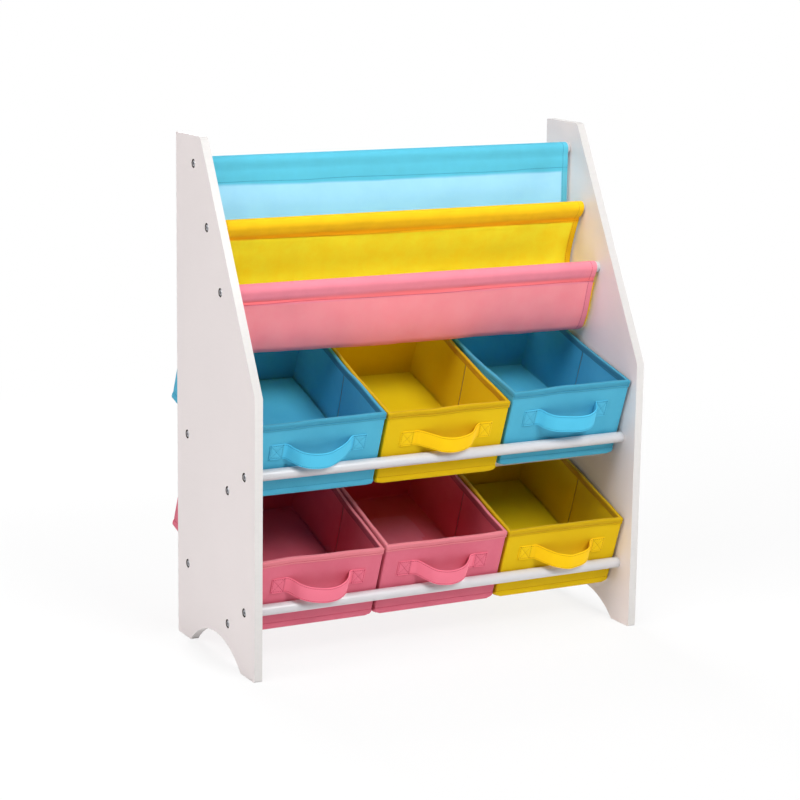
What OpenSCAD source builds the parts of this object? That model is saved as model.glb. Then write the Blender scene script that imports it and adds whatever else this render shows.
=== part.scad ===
// Toy storage unit for a child's room.
// Two side panels and nine cross tubes carry a book sling with two pockets
// above two sloping rows of fabric bins.
// X runs across the unit, Y from front to rear and Z up from the floor.

/* [Side panels] */
// Panel left behind the centres of the rear tubes
rear_margin = 36.4; // [25:0.1:60]
// Thickness of a side panel
panel_t = 12; // [9:0.5:18]
// Height of the knee above the front rim of the upper bins
knee_rise = 40; // [20:1:70]
// Angle of the sloping front edge, from upright
slant = 28.7; // [24:0.1:30]
// Panel left above the centre of the top sling tube
top_margin = 39.5; // [25:0.5:60]
// Radius of the upper front corner
front_corner_r = 12; // [4:1:20]
// Radius of the other outline corners
corner_r = 3; // [1:0.5:6]
// Length of each foot along the floor
foot_l = 47; // [35:1:60]
// Rise of the arch between the feet
arch_rise = 36.5; // [20:0.5:42]

/* [Tubes and screws] */
// Outer diameter of a cross tube
tube_dia = 16; // [12:0.5:20]
// Wall of a cross tube
tube_wall = 1.2; // [0.8:0.1:2]
// Length of the threaded plug in a tube end
plug_l = 24; // [15:1:40]
// Diameter of a screw shank
screw_dia = 6; // [5:0.5:7]
// Depth that a screw reaches into its plug
screw_reach = 18; // [10:1:22]
// Diameter of a screw head
head_dia = 11; // [9:0.5:13]
// Height of a screw head
head_h = 3.2; // [2:0.1:4]
// Depth of the recess that hides a screw head
recess_h = 3.6; // [2.5:0.1:5]
// Width across the flats of the hexagon socket
socket_af = 4; // [3:0.5:5]

/* [Book sling] */
// Distance of the sling tubes behind the sloping edge
sling_inset = 40; // [30:1:50]
// Distance between sling tubes along the slope
sling_pitch = 96; // [85:1:110]
// Depth of a pocket below the tube at its front
pocket_depth = 100; // [80:1:115]
// Height of the lower pocket above the rims of the upper bins
sling_clearance = 13.5; // [8:0.5:40]
// Depth of the sewn sleeve below the top tube
sleeve_depth = 31; // [24:1:40]
// Depth of the sewn sleeves below the two tubes in front
front_sleeve_depth = 22; // [18:1:31]
// Thickness of the sling fabric
cloth_t = 1; // [0.6:0.1:1.5]
// Gap between the sling and a side panel
sling_side_gap = 5; // [2:0.5:12]

/* [Bins] */
// Width of a bin across its rim
bin_w = 197; // [160:1:230]
// Length of a bin along its rim
bin_l = 278; // [250:1:320]
// Height of a bin
bin_h = 118; // [100:1:140]
// Gap from one bin to the next
bin_gap = 3.3; // [2:0.1:8]
// Tilt of the bins
bin_tilt = 20; // [15:0.5:24]
// Lower front edge of the bins, behind the front edge of the panels
bin_foot_y = 56; // [50:1:70]
// Lower front edge of the lower bins, above the floor
bin_foot_z = 56; // [52:1:80]
// Clear height between the lower bins and the base of the upper bins
tier_gap = 63; // [45:1:90]
// Centre of the support tube, from the front of a bin
support_a = 35; // [25:1:60]
// Centre of the rear tube, from the front of a bin
rear_a = 186; // [150:1:195]
// Centre of the front rail, above the base of a bin
rail_n = 40.5; // [30:0.5:45]
// Thickness of the bin fabric
fabric_t = 0.8; // [0.5:0.1:1.2]
// Thickness of the stiffening boards in the walls
board_t = 2; // [1.5:0.1:3]
// Thickness of the loose base board
base_t = 2.6; // [2:0.1:4]
// Height of a bin's floor above the lower edge of its bottom seam
bottom_seam_h = 6.5; // [0.5:0.5:10]
// Height of the rim binding
rim_h = 10; // [7:0.5:14]
// Position of the fold in the side walls, as a distance from the front
fold_a = 125; // [100:1:150]
// Outer radius of the upright corners
bin_corner_r = 3; // [2:0.5:5]

/* [Bin handles] */
// Length of a handle between the outer ends of its patches
handle_l = 146; // [130:1:160]
// Length of each sewn patch
patch_l = 21; // [18:1:32]
// Width of the handle strap
strap_w = 23; // [20:1:30]
// Thickness of the handle strap
strap_t = 2; // [1:0.1:3]
// Centre of the patches above the base of a bin
handle_n = 74; // [70:0.5:80]
// How far the middle of the strap stands off the bin
handle_bow = 24; // [18:1:26]
// How far the middle of the strap hangs below its patches
handle_droop = 5; // [0:0.5:6]
// How much higher the upper right handle is sewn on
odd_handle_rise = 10; // [0:1:12]

/* [Clearances] */
// Gap between a bin or cloth and the tube that carries it
seat_gap = 0.3; // [0.2:0.05:0.5]
// Gap between layers that are sewn or laid together
layer_gap = 0.1; // [0.05:0.05:0.2]
// Gap round a plug in its tube and a screw in its hole
bore_gap = 0.15; // [0.1:0.05:0.3]

/* [Hidden] */
BINS_PER_ROW = 3;
ROWS = ["lower", "upper"];
COLUMNS = ["left", "middle", "right"];
BIN_PIECES = ["cover", "boards", "lining", "base_board", "rim", "handle"];
SIDES = ["left", "right"];
TUBES = [
    "sling_tube_top", "sling_tube_middle", "sling_tube_bottom",
    "upper_front_rail", "upper_support_tube", "upper_rear_tube",
    "lower_front_rail", "lower_support_tube", "lower_rear_tube"
];

// Smoothness of curves
$fn = 48;
ARC_STEPS = 6;
LOOP_STEPS = 14;
CURVE_STEPS = 5;
HANDLE_RINGS = 22;

WHITE = [0.93, 0.92, 0.92];
STEEL = [0.62, 0.62, 0.64];
BLUE = [0.33, 0.70, 0.85];
YELLOW = [0.92, 0.76, 0.13];
PINK = [0.93, 0.47, 0.57];
BOARD_GREY = [0.62, 0.60, 0.57];
BIN_COLOURS = [[PINK, PINK, YELLOW], [BLUE, YELLOW, BLUE]];

// Room left round a screw head in its recess
head_margin = 0.9;
// Gap between the two halves of a side wall's board, where the bin folds
fold_gap = 1.5;
// How far the lower edge of a handle stands out past its upper edge
handle_lean = 4;
// Gap between a sleeve's flap and its front layer at the seam
flap_gap = 0.3;
// How far two of the sleeves are sewn back from their tubes, as a share of the step between tubes
middle_seam_share = 0.128;
bottom_seam_share = 0.007;

// Widths across the unit
bin_pitch = bin_w + bin_gap;
inner_w = BINS_PER_ROW * bin_pitch;
unit_w = inner_w + 2 * panel_t;
sling_w = inner_w - 2 * sling_side_gap;

// Layers of a bin wall, from the rim's outer face inwards
rim_out = fabric_t + layer_gap;
tube_seat = tube_dia / 2 + seat_gap;

// The two rows of bins
tier_pitch = (bin_h + tier_gap) / cos(bin_tilt);
// Depth of the whole unit, from the panels' front edge to the bins' rear edge
unit_d = bin_foot_y + (bin_l - rim_out) * cos(bin_tilt);
front_y = -unit_d / 2;

// A point of the side view, from its place along and above a bin's base
function bin_point(a, n, tier) = [
    bin_foot_y + a * cos(bin_tilt) - n * sin(bin_tilt),
    bin_foot_z + tier * tier_pitch + a * sin(bin_tilt) + n * cos(bin_tilt)
];
function rail_centre(tier) = bin_point(rim_out - tube_seat, rail_n, tier);
function support_centre(tier) = bin_point(support_a, -tube_seat, tier);
function rear_centre(tier) = bin_point(rear_a, -tube_seat, tier);

// The sloping edge starts at the knee, and the sling tubes lie behind it
knee_h = bin_point(0, bin_h, 1)[1] + knee_rise;
function slope_point(along, inset) = [
    along * sin(slant) + inset * cos(slant),
    knee_h + along * cos(slant) - inset * sin(slant)
];
// Deepest point of a pocket behind the tube at its front
pocket_set_back = 50;
// The lowest sling tube is as high as its pocket needs to clear the bins
rim_z_at_front = bin_point(0, bin_h, 1)[1] - bin_point(0, bin_h, 1)[0] * tan(bin_tilt);
first_tube_along = (
    rim_z_at_front + sling_clearance + pocket_depth - knee_h + sling_inset * sin(slant)
    + (sling_inset * cos(slant) + pocket_set_back) * tan(bin_tilt)
) / (cos(slant) - sin(slant) * tan(bin_tilt));
// Sling tube 0 is the top one
function sling_centre(i) = slope_point(first_tube_along + (2 - i) * sling_pitch, sling_inset);

// Outline of a side panel
panel_h = sling_centre(0)[1] + top_margin;
panel_d = rear_centre(0)[0] + rear_margin;
TUBE_CENTRES = [
    sling_centre(0), sling_centre(1), sling_centre(2),
    rail_centre(1), support_centre(1), rear_centre(1),
    rail_centre(0), support_centre(0), rear_centre(0)
];

// Points round a circle, from one angle to another
function arc(centre, r, from, to, steps) = [
    for (k = [0 : steps])
        let (angle = from + (to - from) * k / steps)
        centre + r * [cos(angle), sin(angle)]
];
function unit_vector(v) = v / norm(v);
function heading(v) = atan2(v[1], v[0]);
function left_of(v) = [-v[1], v[0]];

// The arc that rounds the corner at p between its neighbours q and s
function rounded_corner(q, p, s, r) =
    let (u = unit_vector(q - p), v = unit_vector(s - p))
    let (half = acos(u * v) / 2, axis = unit_vector(u + v))
    let (centre = p + axis * r / sin(half))
    let (start = heading(p + u * r / tan(half) - centre), end = heading(p + v * r / tan(half) - centre))
    let (turn = end - start, back = turn > 180 ? -360 : turn < -180 ? 360 : 0)
    arc(centre, r, start, end + back, ARC_STEPS);

// An outline with one radius at each of its corners
function rounded_outline(points, radii) = [
    for (i = [0 : len(points) - 1])
        each radii[i] == 0
            ? [points[i]]
            : rounded_corner(
                points[(i + len(points) - 1) % len(points)], points[i],
                points[(i + 1) % len(points)], radii[i]
            )
];

// A smooth curve through the points
function smooth(points) = [
    for (i = [0 : len(points) - 2]) for (k = [0 : CURVE_STEPS - (i == len(points) - 2 ? 0 : 1)])
        let (
            t = k / CURVE_STEPS,
            p0 = points[max(i - 1, 0)], p1 = points[i], p2 = points[i + 1],
            p3 = points[min(i + 2, len(points) - 1)]
        )
        p1 + (p2 - p0) * t / 2 + (2 * p0 - 5 * p1 + 4 * p2 - p3) * t * t / 2
            + (3 * p1 - p0 - 3 * p2 + p3) * t * t * t / 2
];

// A path moved sideways, to its left where the distance is positive
function beside(path, distance) = [
    for (i = [0 : len(path) - 1])
        path[i] + distance * left_of(unit_vector(path[min(i + 1, len(path) - 1)] - path[max(i - 1, 0)]))
];
function reversed(list) = [for (i = [len(list) - 1 : -1 : 0]) list[i]];
function ribbon(path, t) = concat(beside(path, t / 2), reversed(beside(path, -t / 2)));

// Moves what is drawn from the panels' front edge into the unit's own frame
module unit_frame() {
    translate([0, front_y, 0])
        children();
}

// Turns a side view, drawn with Y across and Z up, into a solid centred on X
module across(width) {
    translate([-width / 2, 0, 0])
        rotate([90, 0, 90])
            linear_extrude(width)
                children();
}

module rounded_rectangle(width, length, r) {
    for (x = [r, width - r]) for (y = [r, length - r])
        translate([x - width / 2, y])
            circle(r);
    translate([r - width / 2, 0])
        square([width - 2 * r, length]);
    translate([-width / 2, r])
        square([width, length - 2 * r]);
}

// Side panels

module panel_outline() {
    edge_top = [(panel_h - knee_h) * tan(slant), panel_h];
    arch_half = panel_d / 2 - foot_l;
    arch_r = (arch_half * arch_half + arch_rise * arch_rise) / (2 * arch_rise);
    difference() {
        polygon(rounded_outline(
            [[0, 0], [panel_d, 0], [panel_d, panel_h], edge_top, [0, knee_h]],
            [corner_r, corner_r, corner_r, front_corner_r, 0]
        ));
        translate([panel_d / 2, arch_rise - arch_r])
            circle(arch_r, $fn = 96);
    }
}

// side is -1 for the left panel and 1 for the right one
module side_panel(side) {
    outer_x = side * unit_w / 2;
    hole_dia = screw_dia + 2 * bore_gap;
    recess_dia = head_dia + 2 * head_margin;
    unit_frame()
        color(WHITE)
            difference() {
                translate([side * (inner_w + panel_t) / 2, 0, 0])
                    across(panel_t)
                        panel_outline();
                for (c = TUBE_CENTRES)
                    translate([outer_x, c[0], c[1]])
                        rotate([0, -side * 90, 0]) {
                            translate([0, 0, -1])
                                cylinder(h = panel_t + 2, d = hole_dia);
                            translate([0, 0, -1])
                                cylinder(h = recess_h + 1, d = recess_dia);
                        }
            }
}

// Cross tubes with their plugs and screws

module tube(centre) {
    unit_frame()
        color(WHITE)
            translate([-inner_w / 2, centre[0], centre[1]])
                rotate([0, 90, 0])
                    difference() {
                        cylinder(h = inner_w, d = tube_dia);
                        translate([0, 0, -1])
                            cylinder(h = inner_w + 2, d = tube_dia - 2 * tube_wall);
                    }
}

module tube_plugs(side) {
    unit_frame()
        color(BOARD_GREY)
            for (c = TUBE_CENTRES)
                translate([side * inner_w / 2, c[0], c[1]])
                    rotate([0, -side * 90, 0])
                        difference() {
                            cylinder(h = plug_l, d = tube_dia - 2 * tube_wall - 2 * bore_gap);
                            translate([0, 0, -1])
                                cylinder(h = screw_reach + 2, d = screw_dia + 2 * bore_gap);
                        }
}

module panel_screws(side) {
    shank_l = panel_t - recess_h + screw_reach;
    unit_frame()
        color(STEEL)
            for (c = TUBE_CENTRES)
                translate([side * (unit_w / 2 - recess_h), c[0], c[1]])
                    rotate([0, -side * 90, 0]) {
                        cylinder(h = shank_l, d = screw_dia);
                        translate([0, 0, -head_h])
                            difference() {
                                cylinder(h = head_h, d = head_dia);
                                translate([0, 0, -1])
                                    cylinder(h = head_h, d = socket_af / cos(30), $fn = 6);
                            }
                    }
}

// Book sling

// Where each sleeve is sewn together, from its tube's centre
tube_step = sling_centre(0) - sling_centre(1);
TOP_SEAM = [-(tube_seat + cloth_t / 2), -sleeve_depth];
MIDDLE_SEAM = [middle_seam_share * tube_step[0], -front_sleeve_depth];
BOTTOM_SEAM = [bottom_seam_share * tube_step[0], -front_sleeve_depth];
cloth_step = cloth_t + layer_gap;

// A sleeve's path, from its sewn flap up the rear of the tube and down the front to the seam
function sleeve(centre, seam) =
    let (r = tube_seat + cloth_t / 2, aim = heading(seam), half = acos(r / norm(seam)))
    concat(
        [centre + seam + [cloth_step + flap_gap, 1]],
        arc(centre, r, aim + half, aim + 360 - half, LOOP_STEPS),
        [centre + seam]
    );

// A point of a pocket, from the tube at its front. depth runs from 0 at the seam to 1 at the bottom
function pocket_point(i, set_back, depth) =
    sling_centre(i) + [
        set_back * tube_step[0],
        -sleeve_depth - depth * (pocket_depth - cloth_t / 2 - sleeve_depth)
    ];

// The front of the lower pocket
PINK_FALL = smooth([
    sling_centre(2) + BOTTOM_SEAM,
    pocket_point(2, 0.29, 0.5), pocket_point(2, 0.51, 0.82),
    pocket_point(2, 0.66, 0.94), pocket_point(2, 0.87, 1)
]);
// The shared wall between the two pockets, and on down to the bottom of the lower one
YELLOW_FALL = smooth([
    sling_centre(1) + MIDDLE_SEAM,
    pocket_point(1, 0.34, 0.21), pocket_point(1, 0.51, 0.556), pocket_point(1, 0.575, 0.85),
    pocket_point(2, 1.58, 0.15), pocket_point(2, 1.47, 0.6), pocket_point(2, 1.22, 0.92),
    PINK_FALL[len(PINK_FALL) - 1] + [0, cloth_step]
]);
UPPER_POCKET_END = 3 * CURVE_STEPS;

function pink_path() = concat(sleeve(sling_centre(2), BOTTOM_SEAM), [
    for (i = [1 : len(PINK_FALL) - 1]) PINK_FALL[i]
]);

// The yellow panel turns up inside the pink one, as far as the pink sleeve
function yellow_path() =
    let (lining = beside(PINK_FALL, cloth_step))
    concat(
        sleeve(sling_centre(1), MIDDLE_SEAM),
        [for (i = [1 : len(YELLOW_FALL) - 1]) YELLOW_FALL[i]],
        [for (i = [len(lining) - 2 : -1 : 1]) lining[i]]
    );

// The blue panel turns up behind the yellow one, as far as the yellow sleeve
function blue_path() =
    let (
        lining = beside(YELLOW_FALL, cloth_step),
        front = lining[UPPER_POCKET_END],
        back_y = sling_centre(0)[0] + TOP_SEAM[0],
        turn_r = (back_y - front[0]) / 2
    )
    concat(
        sleeve(sling_centre(0), TOP_SEAM),
        arc([back_y - turn_r, front[1]], turn_r, 0, -180, LOOP_STEPS),
        [for (i = [UPPER_POCKET_END - 1 : -1 : 1]) lining[i]]
    );

module sling_panel(path) {
    unit_frame()
        across(sling_w)
            polygon(ribbon(path, cloth_t));
}

module blue_sling_panel() {
    color(BLUE)
        sling_panel(blue_path());
}

module yellow_sling_panel() {
    color(YELLOW)
        sling_panel(yellow_path());
}

module pink_sling_panel() {
    color(PINK)
        sling_panel(pink_path());
}

// Bins, drawn with X across, Y along the base from the front and Z up the front wall

module bin_frame(tier, column) {
    x = (column - (BINS_PER_ROW - 1) / 2) * bin_pitch;
    translate([x, front_y + bin_foot_y, bin_foot_z + tier * tier_pitch])
        rotate([bin_tilt, 0, 0])
            children();
}

// A block standing in the bin, drawn in from the rim's outer face on all four sides
module bin_block(inset, low, high) {
    translate([0, inset, low])
        linear_extrude(high - low)
            rounded_rectangle(bin_w - 2 * inset, bin_l - 2 * inset, max(bin_corner_r - inset, 0.3));
}

// Insets of the layers of a wall
board_inset = rim_out + fabric_t + layer_gap;
lining_inset = board_inset + board_t + layer_gap;
inside_inset = lining_inset + fabric_t;
lining_floor = bottom_seam_h + fabric_t + layer_gap;
base_floor = lining_floor + fabric_t + layer_gap;
wall_top = bin_h - rim_out;

// The cover's walls go on below its floor, as the bottom seam does
module bin_cover() {
    difference() {
        bin_block(rim_out, 0, wall_top);
        bin_block(rim_out + fabric_t, bottom_seam_h + fabric_t, bin_h);
        bin_block(rim_out + fabric_t, -1, bottom_seam_h);
    }
}

module bin_boards() {
    // The end boards stop short of the cover's rounded corners
    end_w = bin_w - 2 * max(board_inset, bin_corner_r);
    side_x = bin_w / 2 - board_inset;
    side_start = max(board_inset + board_t + layer_gap, bin_corner_r);
    side_end = bin_l - side_start;
    board_h = wall_top - lining_floor;
    translate([0, 0, lining_floor]) {
        for (a = [board_inset, bin_l - board_inset - board_t])
            translate([-end_w / 2, a, 0])
                cube([end_w, board_t, board_h]);
        for (x = [-side_x, side_x - board_t]) {
            translate([x, side_start, 0])
                cube([board_t, fold_a - fold_gap / 2 - side_start, board_h]);
            translate([x, fold_a + fold_gap / 2, 0])
                cube([board_t, side_end - fold_a - fold_gap / 2, board_h]);
        }
    }
}

module bin_lining() {
    difference() {
        bin_block(lining_inset, lining_floor, wall_top);
        bin_block(inside_inset, lining_floor + fabric_t, bin_h);
    }
}

module bin_base_board() {
    bin_block(inside_inset + layer_gap, base_floor, base_floor + base_t);
}

// The binding folds over the top edge, outside the cover and inside the lining
module bin_rim() {
    difference() {
        bin_block(0, bin_h - rim_h, bin_h);
        difference() {
            bin_block(fabric_t, bin_h - rim_h - 1, bin_h - fabric_t);
            bin_block(inside_inset + layer_gap, bin_h - rim_h - 2, bin_h);
        }
        bin_block(inside_inset + layer_gap + fabric_t, bin_h - rim_h - 1, bin_h + 1);
    }
}

// Place of the strap's centre line at a distance x from the middle, and how far it stands off
free_l = handle_l - 2 * patch_l;
function strap_arch(x) = abs(x) >= free_l / 2 ? 0 : cos(180 * x / free_l);

// Four corners of the strap's section at x, on a strap sewn on at height rise
function strap_ring(x, rise) =
    let (
        arch = strap_arch(x),
        back = rim_out - layer_gap - handle_bow * arch,
        low = handle_n + rise - strap_w / 2 - handle_droop * arch * arch,
        lean = handle_lean * arch
    )
    [
        [x, back - lean, low], [x, back, low + strap_w],
        [x, back - strap_t, low + strap_w], [x, back - strap_t - lean, low]
    ];

module bin_handle(rise) {
    half = handle_l / 2;
    stations = concat(
        [-half],
        [for (k = [0 : HANDLE_RINGS]) -free_l / 2 + free_l * k / HANDLE_RINGS],
        [half]
    );
    rings = [for (x = stations) strap_ring(x, rise)];
    last = len(rings) - 1;
    polyhedron(
        points = [for (r = rings) each r],
        faces = concat(
            [[0, 1, 2, 3]],
            [[4 * last + 3, 4 * last + 2, 4 * last + 1, 4 * last]],
            [for (i = [0 : last - 1]) for (k = [0 : 3]) each [
                [4 * i + k, 4 * i + 4 + k, 4 * i + (k + 1) % 4],
                [4 * i + (k + 1) % 4, 4 * i + 4 + k, 4 * i + 4 + (k + 1) % 4]
            ]]
        )
    );
}

module bin_piece(piece, tier, column) {
    rise = tier == 1 && column == 2 ? odd_handle_rise : 0;
    color(piece == "boards" ? BOARD_GREY : BIN_COLOURS[tier][column])
        bin_frame(tier, column) {
            if (piece == "cover") bin_cover();
            if (piece == "boards") bin_boards();
            if (piece == "lining") bin_lining();
            if (piece == "base_board") bin_base_board();
            if (piece == "rim") bin_rim();
            if (piece == "handle") bin_handle(rise);
        }
}

for (i = [0 : 1]) {
    side_panel(2 * i - 1);
    tube_plugs(2 * i - 1);
    panel_screws(2 * i - 1);
}
for (i = [0 : len(TUBES) - 1])
    tube(TUBE_CENTRES[i]);
blue_sling_panel();
yellow_sling_panel();
pink_sling_panel();
for (tier = [0, 1]) for (column = [0 : 2]) for (piece = BIN_PIECES)
    bin_piece(piece, tier, column);
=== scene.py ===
# Child's storage unit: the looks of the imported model. Lengths are in millimetres until a mesh is made.
import math

import bmesh
import bpy
import numpy as np
from mathutils import Matrix, Vector


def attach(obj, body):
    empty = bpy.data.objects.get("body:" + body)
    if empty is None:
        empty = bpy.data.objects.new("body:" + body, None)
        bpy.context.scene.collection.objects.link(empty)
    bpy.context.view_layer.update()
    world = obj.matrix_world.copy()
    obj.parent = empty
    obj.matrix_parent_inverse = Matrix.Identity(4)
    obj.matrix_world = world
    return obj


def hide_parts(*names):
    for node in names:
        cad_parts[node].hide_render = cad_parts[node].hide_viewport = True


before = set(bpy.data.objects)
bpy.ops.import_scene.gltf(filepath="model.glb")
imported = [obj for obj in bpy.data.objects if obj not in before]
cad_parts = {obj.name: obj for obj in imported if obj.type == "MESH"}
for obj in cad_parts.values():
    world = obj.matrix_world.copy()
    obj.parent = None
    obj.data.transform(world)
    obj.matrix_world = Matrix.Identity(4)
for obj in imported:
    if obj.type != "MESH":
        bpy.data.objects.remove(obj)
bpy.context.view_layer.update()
MM = 0.001

# Sizes of the part, as its source has them
PANEL_T, INNER_W, FRONT_Y = 12.0, 600.9, -158.194
TUBE_DIA, TUBE_WALL = 16.0, 1.2
SCREW_DIA, SCREW_REACH, HEAD_DIA, HEAD_H, RECESS_H, SOCKET_AF = 6.0, 18.0, 11.0, 3.2, 3.6, 4.0
SLING_W, SLEEVE_DEPTH, FRONT_SLEEVE_DEPTH, POCKET_DEPTH = 590.9, 31.0, 22.0, 100.0
CLOTH_T, LAYER_GAP, SEAT_GAP = 1.0, 0.1, 0.3
BIN_W, BIN_L, BIN_H, BIN_PITCH, BIN_TILT = 197.0, 278.0, 118.0, 200.3, math.radians(20)
BIN_FOOT_Y, BIN_FOOT_Z, TIER_PITCH = 56.0, 56.0, 192.616
CORNER_R, FOLD_A, FLOOR_N, HANDLE_N = 3.0, 125.0, 6.5, 74.0
LINING_OUT, LINING_IN, WALL_TOP = 3.9, 4.7, 117.1

# Sizes of the cloth that only this script has. A strap is wider than in the source, since its edges bulge
SHEET_T, SHEET_OFFSET, HEM_T, HEM_OFFSET, HEM_W, STITCH_IN = 0.5, -0.25, 0.4, 0.28, 10.0, 8.5
PATCH_L, STRAP_W, PATCH_SEAM, STRAP_SEAM = 22.0, 25.0, 2.3, 2.0

# Tube centres, from the panels' front edge and up from the floor
TUBES = {
    "sling_tube_top": (207.958, 696.049), "sling_tube_middle": (161.857, 611.843),
    "sling_tube_bottom": (115.755, 527.637), "upper_front_rail": (35.1945, 284.143),
    "upper_support_tube": (91.728, 252.787), "upper_rear_tube": (233.622, 304.432),
    "lower_front_rail": (35.1945, 91.5266), "lower_support_tube": (91.728, 60.1713),
    "lower_rear_tube": (233.622, 111.816),
}

# Camera

CAMERA_AT, CAMERA_LENS = (-1.6169, -3.0209, 1.0608), 107.46
CAMERA_AZIMUTH, CAMERA_ELEVATION, CAMERA_ROLL = (math.radians(v) for v in (-28.05, 11.85, 0.82))


def add_object(name, data):
    made = bpy.data.objects.new(name, data)
    bpy.context.scene.collection.objects.link(made)
    return made


def add_camera():
    a, e, r = CAMERA_AZIMUTH, CAMERA_ELEVATION, CAMERA_ROLL
    back = Vector((math.sin(a) * math.cos(e), -math.cos(a) * math.cos(e), math.sin(e)))
    right = Vector((math.cos(a), math.sin(a), 0))
    up = back.cross(right)
    turned = Matrix((
        right * math.cos(r) + up * math.sin(r), up * math.cos(r) - right * math.sin(r), back
    )).transposed()
    data = bpy.data.cameras.new("camera")
    data.lens, data.sensor_width, data.clip_end = CAMERA_LENS, 36, 60
    camera = add_object("camera", data)
    camera.matrix_world = Matrix.Translation(CAMERA_AT) @ turned.to_4x4()
    bpy.context.scene.camera = camera


add_camera()

# Materials


class Wire:
    """A value in a material. A sum written with it adds the nodes that work it out."""

    def __init__(self, finish, socket):
        self.finish, self.socket = finish, socket

    def do(self, operation, first, second=0.0):
        return self.finish.node("ShaderNodeMath", {"operation": operation}, {0: first, 1: second})

    def __add__(self, other):
        return self.do("ADD", self, other)

    def __radd__(self, other):
        return self.do("ADD", other, self)

    def __sub__(self, other):
        return self.do("SUBTRACT", self, other)

    def __rsub__(self, other):
        return self.do("SUBTRACT", other, self)

    def __mul__(self, other):
        return self.do("MULTIPLY", self, other)

    def __rmul__(self, other):
        return self.do("MULTIPLY", other, self)

    def sine(self):
        return self.do("SINE", self)

    def between(self, low, high):
        """0 below low and 1 above high, with a smooth change."""
        return self.finish.node(
            "ShaderNodeMapRange", {"interpolation_type": "SMOOTHSTEP"}, {0: self, 1: low, 2: high}
        )


class Finish:
    """A material or a world, built node by node."""

    def __init__(self, name, kept_in=bpy.data.materials):
        self.made = kept_in.new(name)
        self.made.use_nodes = True
        self.tree = self.made.node_tree
        self.tree.nodes.clear()

    def node(self, kind, settings=(), values=(), out=0):
        made = self.tree.nodes.new(kind)
        for key, value in dict(settings).items():
            setattr(made, key, value)
        for key, value in dict(values).items():
            if isinstance(value, Wire):
                self.tree.links.new(value.socket, made.inputs[key])
            else:
                made.inputs[key].default_value = value
        return Wire(self, made.outputs[out])

    def object_place(self):
        return self.node("ShaderNodeTexCoord", out="Object")

    def cloth_place(self):
        return self.node("ShaderNodeUVMap", {"uv_map": "cut"})

    def mark(self, name):
        """A number that the piece carries over its surface."""
        return self.node("ShaderNodeAttribute", {"attribute_name": name}, out="Fac")

    def parts_of(self, place):
        split = self.node("ShaderNodeSeparateXYZ", values={0: place})
        return [Wire(self, s) for s in split.socket.node.outputs]

    def seen(self):
        """1 where the camera, a reflection or glass shows this, and 0 where it only lights other things."""
        rays = self.node("ShaderNodeLightPath").socket.node.outputs
        kinds = ("Is Camera Ray", "Is Glossy Ray", "Is Transmission Ray")
        camera, glossy, through = (Wire(self, rays[kind]) for kind in kinds)
        either = camera.do("MAXIMUM", camera, glossy)
        return either.do("MAXIMUM", either, through)

    def noise(self, place, scale, detail=2.0, stretch=(1, 1, 1), roughness=0.55):
        if stretch != (1, 1, 1):
            place = self.node("ShaderNodeVectorMath", {"operation": "MULTIPLY"}, {0: place, 1: stretch})
        return self.node("ShaderNodeTexNoise", values={
            "Vector": place, "Scale": scale, "Detail": detail, "Roughness": roughness,
        })

    def mix(self, share, first, second):
        return self.node("ShaderNodeMix", {"data_type": "RGBA"}, {0: share, 6: first, 7: second}, out=2)

    def bump(self, height, strength, distance):
        return self.node("ShaderNodeBump", values={
            "Height": height, "Strength": strength, "Distance": distance,
        })

    def surface(self, values):
        return self.node("ShaderNodeBsdfPrincipled", values=values)

    def show(self, shader, output="ShaderNodeOutputMaterial"):
        out = self.tree.nodes.new(output)
        self.tree.links.new(shader.socket, out.inputs["Surface"])
        return self.made


def tone(red, green, blue, times=1.0):
    """A colour given as 0 to 255 on a screen, as the linear one that a shader takes."""
    def linear(v):
        v = v / 255
        return (v / 12.92 if v <= 0.04045 else ((v + 0.055) / 1.055) ** 2.4) * times
    return (linear(red), linear(green), linear(blue), 1.0)


# Between the rows of pressed points, in metres as the shaders have it
BOND_PITCH = 0.0015


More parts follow.
